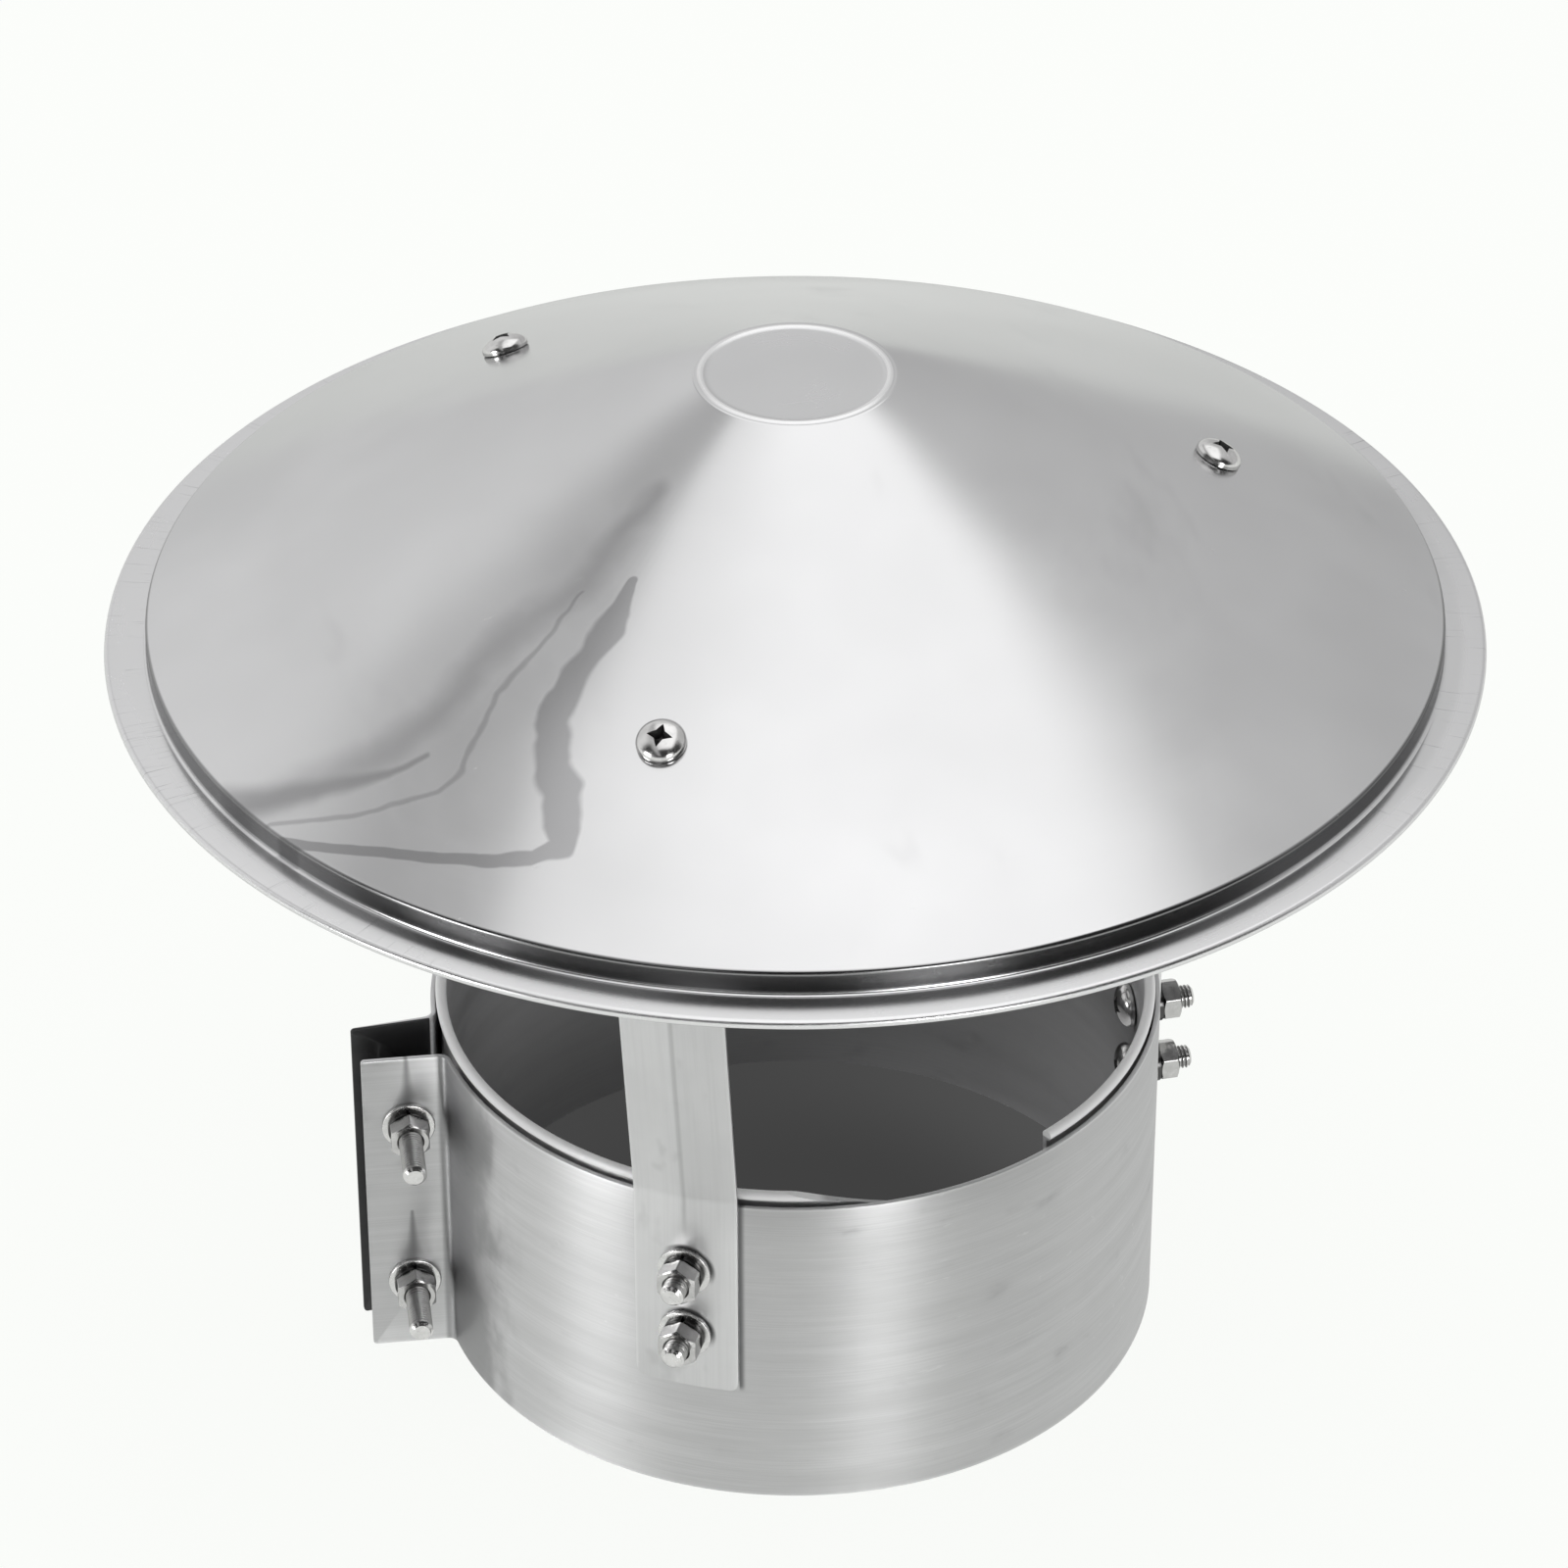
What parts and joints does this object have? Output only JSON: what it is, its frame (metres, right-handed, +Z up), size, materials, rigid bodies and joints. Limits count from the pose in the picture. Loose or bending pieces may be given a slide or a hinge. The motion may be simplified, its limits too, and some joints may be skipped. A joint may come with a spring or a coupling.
{
  "type": "anti-downdraught cowl",
  "caption": "Conical rain cap on legs above a split clamp collar, for the top of a round flue pipe.",
  "frame": {"origin": "on the flue's axis, in the plane of the collar's lower edge", "axes": "+Z up the flue through the cap's apex; the clamp's lugs point to -X"},
  "size_m": [0.28, 0.28, 0.225],
  "materials": {
    "polished_stainless": "mirror polished stainless steel",
    "brushed_stainless": "stainless steel, brushed along the sheet",
    "satin_stainless": "satin stainless steel strip",
    "fastener_steel": "bright stainless steel fasteners"
  },
  "bodies": {
    "root": {"cap": "polished_stainless", "clamp_band": "brushed_stainless", "liner_ring": "brushed_stainless", "leg_right": "satin_stainless", "cap_screw_right": "fastener_steel", "cap_washer_right": "fastener_steel", "cap_spring_washer_right": "fastener_steel", "cap_nut_right": "fastener_steel", "leg_bolt_right_lower": "fastener_steel", "leg_washer_right_lower": "fastener_steel", "leg_spring_washer_right_lower": "fastener_steel", "leg_nut_right_lower": "fastener_steel", "leg_bolt_right_upper": "fastener_steel", "leg_washer_right_upper": "fastener_steel", "leg_spring_washer_right_upper": "fastener_steel", "leg_nut_right_upper": "fastener_steel", "leg_back": "satin_stainless", "cap_screw_back": "fastener_steel", "cap_washer_back": "fastener_steel", "cap_spring_washer_back": "fastener_steel", "cap_nut_back": "fastener_steel", "leg_bolt_back_lower": "fastener_steel", "leg_washer_back_lower": "fastener_steel", "leg_spring_washer_back_lower": "fastener_steel", "leg_nut_back_lower": "fastener_steel", "leg_bolt_back_upper": "fastener_steel", "leg_washer_back_upper": "fastener_steel", "leg_spring_washer_back_upper": "fastener_steel", "leg_nut_back_upper": "fastener_steel", "leg_front": "satin_stainless", "cap_screw_front": "fastener_steel", "cap_washer_front": "fastener_steel", "cap_spring_washer_front": "fastener_steel", "cap_nut_front": "fastener_steel", "leg_bolt_front_lower": "fastener_steel", "leg_washer_front_lower": "fastener_steel", "leg_spring_washer_front_lower": "fastener_steel", "leg_nut_front_lower": "fastener_steel", "leg_bolt_front_upper": "fastener_steel", "leg_washer_front_upper": "fastener_steel", "leg_spring_washer_front_upper": "fastener_steel", "leg_nut_front_upper": "fastener_steel", "clamp_bolt_lower": "fastener_steel", "clamp_head_washer_lower": "fastener_steel", "clamp_washer_lower": "fastener_steel", "clamp_bolt_upper": "fastener_steel", "clamp_head_washer_upper": "fastener_steel", "clamp_washer_upper": "fastener_steel"},
    "lower_nut_run": {"clamp_spring_washer_lower": "fastener_steel"},
    "lower_nut": {"clamp_nut_lower": "fastener_steel"},
    "upper_nut_run": {"clamp_spring_washer_upper": "fastener_steel"},
    "upper_nut": {"clamp_nut_upper": "fastener_steel"}
  },
  "joints": [
    {"name": "lower_nut_travel", "type": "slide", "parent": "root", "child": "lower_nut_run", "axis": [-0.1045, -0.9945, 0], "range_m": [0, 0.0118]},
    {"name": "lower_nut_turn", "type": "hinge", "parent": "lower_nut_run", "child": "lower_nut", "pos_m": [-0.08483, -0.00655, 0.017], "axis": [-0.1045, -0.9945, 0], "range_deg": [0, 5310.1]},
    {"name": "upper_nut_travel", "type": "slide", "parent": "root", "child": "upper_nut_run", "axis": [-0.1045, -0.9945, 0], "range_m": [0, 0.0118]},
    {"name": "upper_nut_turn", "type": "hinge", "parent": "upper_nut_run", "child": "upper_nut", "pos_m": [-0.08483, -0.00655, 0.058], "axis": [-0.1045, -0.9945, 0], "range_deg": [0, 5310.1]}
  ],
  "couplings": [
    {"joint": "lower_nut_turn", "follows": "lower_nut_travel", "rad_per_m": 7854},
    {"joint": "upper_nut_turn", "follows": "upper_nut_travel", "rad_per_m": 7854}
  ]
}
